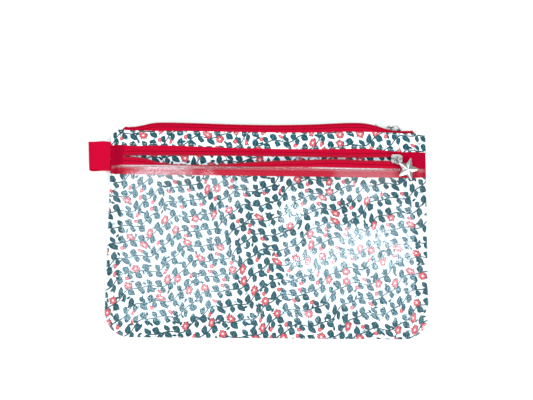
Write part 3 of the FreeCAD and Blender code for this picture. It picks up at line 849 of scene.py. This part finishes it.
rearZip = {
    "lip": [(-127.6, 0.5), (-125.4, 2.6), (-121.5, 3.3), (-114, 4.0), (-108, 5.3), (-103, 6.6), (-98, 7.4),
            (-90, 7.7), (-70, 7.6), (-25, 6.8), (10, 6.9), (42, 8.0), (58, 9.0), (72, 9.6), (84, 9.2),
            (94, 7.0), (101, 4.8), (106, 3.5), (112, 3.1), (118, 3.1), (122, 3.2), (125.2, 2.6),
            (127.4, 0.5)],
    "left": -127.6, "right": 127.4, "hidden": 81.2, "behind": 1.1, "behindFrom": -125, "behindTo": 100,
    "behindRun": 20, "frontHigh": 15.12, "frontDrop": 0.04, "curl": 0.25, "curlRun": 1.2, "backHigh": 6.78,
    "coilEnd": 122.2, "coilIn": 0.05, "coilFront": 13.78, "coilBack": 8.02, "coilSize": (0.55, 0.5),
    "shut": {"ends": (121.6, 114.9), "travel": 223.0, "middle": 10.95, "span": (8.3, 13.6), "seat": 90.2},
}


def rearLip(x):  # lip of the front tape
    return pouch["top"] + throughPoints(rearZip["lip"], x)


def rearBackLip(x):  # lip of the back tape: a little lower between its ends
    p = rearZip
    toRight = soft((p["behindTo"] - x) / p["behindRun"])
    toLeft = soft((x - p["behindFrom"]) / p["behindRun"])
    return rearLip(x) - p["behind"] * toRight * toLeft


def frontFlapHeight(x, across):  # under the front wall, curling down towards the lip
    p = rearZip
    flat = np.minimum(p["frontHigh"], wallHeight(sideGap(x)) - p["frontDrop"])
    return flat - p["curl"] * np.exp(-across / p["curlRun"])


def backFlapHeight(x, across):  # level
    return np.full_like(across, rearZip["backHigh"])


x = np.linspace(rearZip["left"], rearZip["right"], 241)
frontFlap = ribbon("rearFrontTape", x, rearLip(x), rearZip["hidden"], frontFlapHeight,
                   True, "rear_front_tape")
backFlap = ribbon("rearBackTape", x, rearBackLip(x), rearZip["hidden"], backFlapHeight,
                  False, "rear_back_tape")
ends = (-rearZip["coilEnd"], rearZip["coilEnd"])
frontCoil = coilAlong("rearFrontCoil", ends, rearLip, -rearZip["coilIn"], rearZip["coilFront"],
                      rearZip["coilSize"], "rear_front_coil")
backCoil = coilAlong("rearBackCoil", ends, rearBackLip, -rearZip["coilIn"], rearZip["coilBack"],
                     rearZip["coilSize"], "rear_back_coil")
closedChain("rearClosedChain", rearZip["shut"], True)
for piece in (frontFlap, backFlap, frontCoil, backCoil):  # each flap and coil takes a mesh of its own
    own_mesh(piece)


def refinish(names, material):  # a CAD node keeps its shape and takes a finish
    for name in names:
        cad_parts[name].data.materials.clear()
        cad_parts[name].data.materials.append(material)


refinish(("rear_top_stop_front", "rear_top_stop_back", "rear_bottom_stop"), coilRed)

thread = {"long": 2.3, "step": 3.0, "wide": 0.17, "high": 0.15, "lean": 0.10, "start": -133.5, "stop": 134,
          "clearRow": 53.4, "waver": 0.15, "waverLong": 13, "clearLift": 0.05,
          "stripLow": 1.6, "stripHigh": 1.5, "stripLift": 0.08}


def stitchRow(name, centre, ahead, up, material):
    # each stitch is a bead: its half width follows the fourth root of one less the fourth power
    # of its share of the length
    p = thread
    share = np.linspace(-1, 1, 6)
    swell = (1 - share ** 4) ** 0.25
    turn = np.linspace(0, 2 * np.pi, 6, endpoint=False)
    side = np.cross(up, ahead)
    lie = ahead + p["lean"] * side
    q = (centre[:, None, None, :] + (p["long"] / 2 * share)[None, :, None, None] * lie[:, None, None, :]
         + (p["wide"] * swell[:, None] * np.cos(turn))[None, :, :, None] * side[:, None, None, :]
         + (p["high"] * swell[:, None] * np.sin(turn))[None, :, :, None] * up[:, None, None, :])
    piece = repeatMesh(name, q[..., 0], q[..., 1], q[..., 2])
    dress(piece, material, "pouch", "tape")


def levelRow(name, x, y, material, lift):  # stitches along a line on the front wall, lifted off it
    z = wallHeight(sideGap(x)) + lift
    centre = np.stack([x, y, z], axis=1)
    ahead = np.gradient(centre, axis=0)
    ahead /= np.linalg.norm(ahead, axis=1, keepdims=True)
    across = np.tile((0.0, 1.0, 0.0), (len(x), 1))
    stitchRow(name, centre, ahead, np.cross(ahead, across), material)


x = np.arange(thread["start"], thread["stop"], thread["step"])
y = thread["clearRow"] + cornerRise(x, vinyl["rise"]) + thread["waver"] * np.sin(x / thread["waverLong"])
levelRow("clearFrontStitches", x, y, threadRed, vinyl["thick"] + thread["clearLift"])
stripLift = strip["thick"] + thread["stripLift"]
levelRow("stripLowerStitches", x, stripLine(x) + thread["stripLow"], threadPale, stripLift)
levelRow("stripUpperStitches", x, stripTop(x) - thread["stripHigh"], threadPale, stripLift)
print("stage: zips and stitching")

loop = {
    "path": [(-137.4, 8.1), (-140.5, 8.9), (-145.5, 10.4), (-151.0, 10.7), (-155.2, 9.7), (-156.3, 7.4),
             (-155.2, 5.1), (-151.0, 4.1), (-145.5, 4.4), (-140.5, 5.9), (-137.4, 6.7)],
    "low": 54.0, "high": 79.0, "pivot": 66, "half": 12.5, "out": 19, "thick": 1.2, "edge": 0.3,
    "askew": 0.9, "short": 0.6, "wave": 0.35, "waveLong": 3.1, "rows": 90, "cols": 17,
}
# webbing: a smooth line through the path's points, carried across its width
steps = np.arange(len(loop["path"]), dtype=float)
t = np.linspace(0, steps[-1], loop["rows"])
px, pz = np.array(loop["path"]).T
lineX = throughPoints(list(zip(steps, px)), t)
lineZ = throughPoints(list(zip(steps, pz)), t)
run = np.concatenate([[0], np.cumsum(np.hypot(np.diff(lineX), np.diff(lineZ)))])
width = np.linspace(loop["low"], loop["high"], loop["cols"])
x = np.repeat(lineX[:, None], loop["cols"], axis=1)
z = np.repeat(lineZ[:, None], loop["cols"], axis=1)
wave = loop["wave"] * np.sin(run / loop["waveLong"])
y = width[None, :] + wave[:, None] * ((width - loop["pivot"]) / loop["half"])[None, :]
reach = (-pouch["half"] - x) / loop["out"]  # 0 at the seam, 1 at the fold
x = x + reach * (loop["short"] - loop["askew"] * (width - loop["pivot"]) / loop["half"])
webbing = gridMesh("sideLoop", x, y, z, flip=True, along=np.repeat(run[:, None], loop["cols"], axis=1),
                   across=np.repeat(width[None, :], loop["rows"], axis=0))
dress(webbing, webbingRed, "pouch", "webbing", "side_loop", thick=loop["thick"], side=0.0, edge=loop["edge"])

star = {"reach": 11.0, "radius": 10.0, "waist": 0.42, "round": 0.055, "rim": 0.25, "crown": 0.85,
        "hole": 1.45, "eye": 1.8, "wire": 0.42, "backShare": 0.75, "valley": 0.45}


def heading(turn, dip):  # unit arrow: turned in the plane, then dipped below it
    flat = math.cos(math.radians(dip))
    return np.array([math.cos(math.radians(turn)) * flat, math.sin(math.radians(turn)) * flat,
                     -math.sin(math.radians(dip))])


def starCharm(name, eye, turn, dip, body, node):
    # outline: straight from each tip to the waist, tips rounded; the face is a dome, lower between arms
    p = star
    fifth = math.pi / 5
    angle = np.linspace(0, 2 * np.pi, 120, endpoint=False)
    off = np.abs((angle - np.pi + fifth) % (2 * fifth) - fifth)  # turn from the nearest tip
    off = np.sqrt(off * off + p["round"] ** 2)
    inner = p["waist"] * p["radius"]
    slant = p["radius"] * np.sin(off) + inner * np.sin(fifth - off)
    outline = p["radius"] * inner * math.sin(fifth) / slant
    outline = outline * p["radius"] / outline.max()
    lobe = 1 - off / fifth
    s = np.sin(np.linspace(0, np.pi / 2, 13))
    s = np.concatenate([s, s[::-1][1:]])
    face = np.concatenate([np.ones(13), -p["backShare"] * np.ones(12)])
    dome = p["rim"] + p["crown"] * np.sqrt(np.clip(1 - s * s, 0, 1))
    fall = 1 - (1 - lobe)[None, :] * p["valley"] * s[:, None]
    a = p["reach"] + s[:, None] * outline[None, :] * np.cos(angle)[None, :]
    b = s[:, None] * outline[None, :] * np.sin(angle)[None, :]
    c = face[:, None] * dome[:, None] * fall
    near = np.hypot(a, b)
    push = np.maximum(near, p["hole"]) / np.maximum(near, 0.01)
    a, b = a * push, b * push
    # eye: a small round wire about the ring's hole
    ring = np.linspace(0, 2 * np.pi, 40, endpoint=False)
    spin = np.linspace(0, 2 * np.pi, 12, endpoint=False)
    ra = (p["eye"] + p["wire"] * np.cos(spin))[None, :] * np.cos(ring)[:, None]
    rb = (p["eye"] + p["wire"] * np.cos(spin))[None, :] * np.sin(ring)[:, None]
    rc = np.repeat((p["wire"] * np.sin(spin))[None, :], 40, axis=0)
    e = heading(turn, dip)
    n = heading(turn, dip - 90)
    m = np.cross(n, e)
    for part, (u, v, w), closed in ((name, (a, b, c), False), (name + "Eye", (ra, rb, rc), True)):
        q = np.asarray(eye) + u[..., None] * e + v[..., None] * m + w[..., None] * n
        piece = gridMesh(part, q[..., 0], q[..., 1], q[..., 2], closeRows=closed, closeCols=True)
        dress(piece, nickel, body, "nickel", *((node,) if not closed else ()))


starCharm("frontStar", (109.7, 62.899, 19.821), -34, 9, "front_star", "front_star")
starCharm("rearStar", (105.439, 95.143, 8.092), -148, 21, "rear_star", "rear_star")
refinish(("front_slider", "rear_slider", "front_ring", "rear_ring"), nickel)
print("stage: loop, charms and sliders")

studio = {
    "camera": (-9.27908, -20.52837, 489.83787), "turn": (0.10424, -0.01673, 0.01036),
    "focal": 560.0, "picture": 533.0, "sensor": 36.0, "floor": (0.96, 0.95, 0.90),
    "sky": (1.0, 0.97, 0.92), "skyPower": 0.40,
    # each light: its place, the point it faces, its size in metres, its power and colour
    "lights": {
        "keyBox": ((0.95, -0.85, 1.05), (0.0, 0.0, 0.0), (0.9, 0.9), 17, (1, 1, 1)),
        "fillBox": ((-1.0, -0.70, 1.05), (0.0, 0.0, 0.0), (0.9, 0.9), 9, (1, 1, 1)),
        "leftBox": ((-0.31, 0.02, 1.0), (-0.31, 0.02, 0.0), (0.36, 0.46), 4.1, (0.68, 0.88, 1.0)),
        "rightBox": ((0.32, -0.02, 1.0), (0.32, -0.02, 0.0), (0.26, 0.50), 2.9, (0.68, 0.88, 1.0)),
        "rightCore": ((0.255, 0.0, 0.99), (0.255, 0.0, 0.0), (0.08, 0.40), 1.0, (0.86, 0.95, 1.0)),
        "backBox": ((0.1, 1.25, 1.1), (0.0, 0.0, 0.0), (0.9, 0.6), 6, (1, 1, 1)),
    },
}
floorMesh = bpy.data.meshes.new("floor")
floorMesh.from_pydata([(-3, -3, 0), (3, -3, 0), (3, 3, 0), (-3, 3, 0)], [], [(0, 1, 2, 3)])
floor = placed("floor", floorMesh)
floorFinish, tree, shader = newFinish("paleFloor")
shader.inputs["Base Color"].default_value = (*studio["floor"], 1)
shader.inputs["Roughness"].default_value = 0.9
floorMesh.materials.append(floorFinish)


def softbox(name, place, aim, size, power, colour):  # flat light, turned to face the point aimed at
    data = bpy.data.lights.new(name, "AREA")
    data.shape = "RECTANGLE"
    data.size, data.size_y = size
    data.energy = power
    data.color = colour
    lamp = placed(name, data)
    away = np.asarray(place) - np.asarray(aim)
    lamp.location = place
    lamp.rotation_euler = (math.acos(away[2] / np.linalg.norm(away)), 0,
                           math.atan2(away[1], away[0]) + math.pi / 2)


for name, light in studio["lights"].items():
    softbox(name, *light)
world = bpy.data.worlds.new("studio")
world.use_nodes = True
world.node_tree.nodes["Background"].inputs[0].default_value = (*studio["sky"], 1)
world.node_tree.nodes["Background"].inputs[1].default_value = studio["skyPower"]
scene = bpy.context.scene
scene.world = world
scene.view_settings.view_transform = "Standard"
lens = bpy.data.cameras.new("camera")
lens.sensor_width = studio["sensor"]
lens.lens = studio["sensor"] * studio["focal"] / studio["picture"]
lens.clip_start = 0.01
camera = placed("camera", lens)
camera.location = [c * mm for c in studio["camera"]]
camera.rotation_euler = studio["turn"]
scene.camera = camera

print("stage: studio")
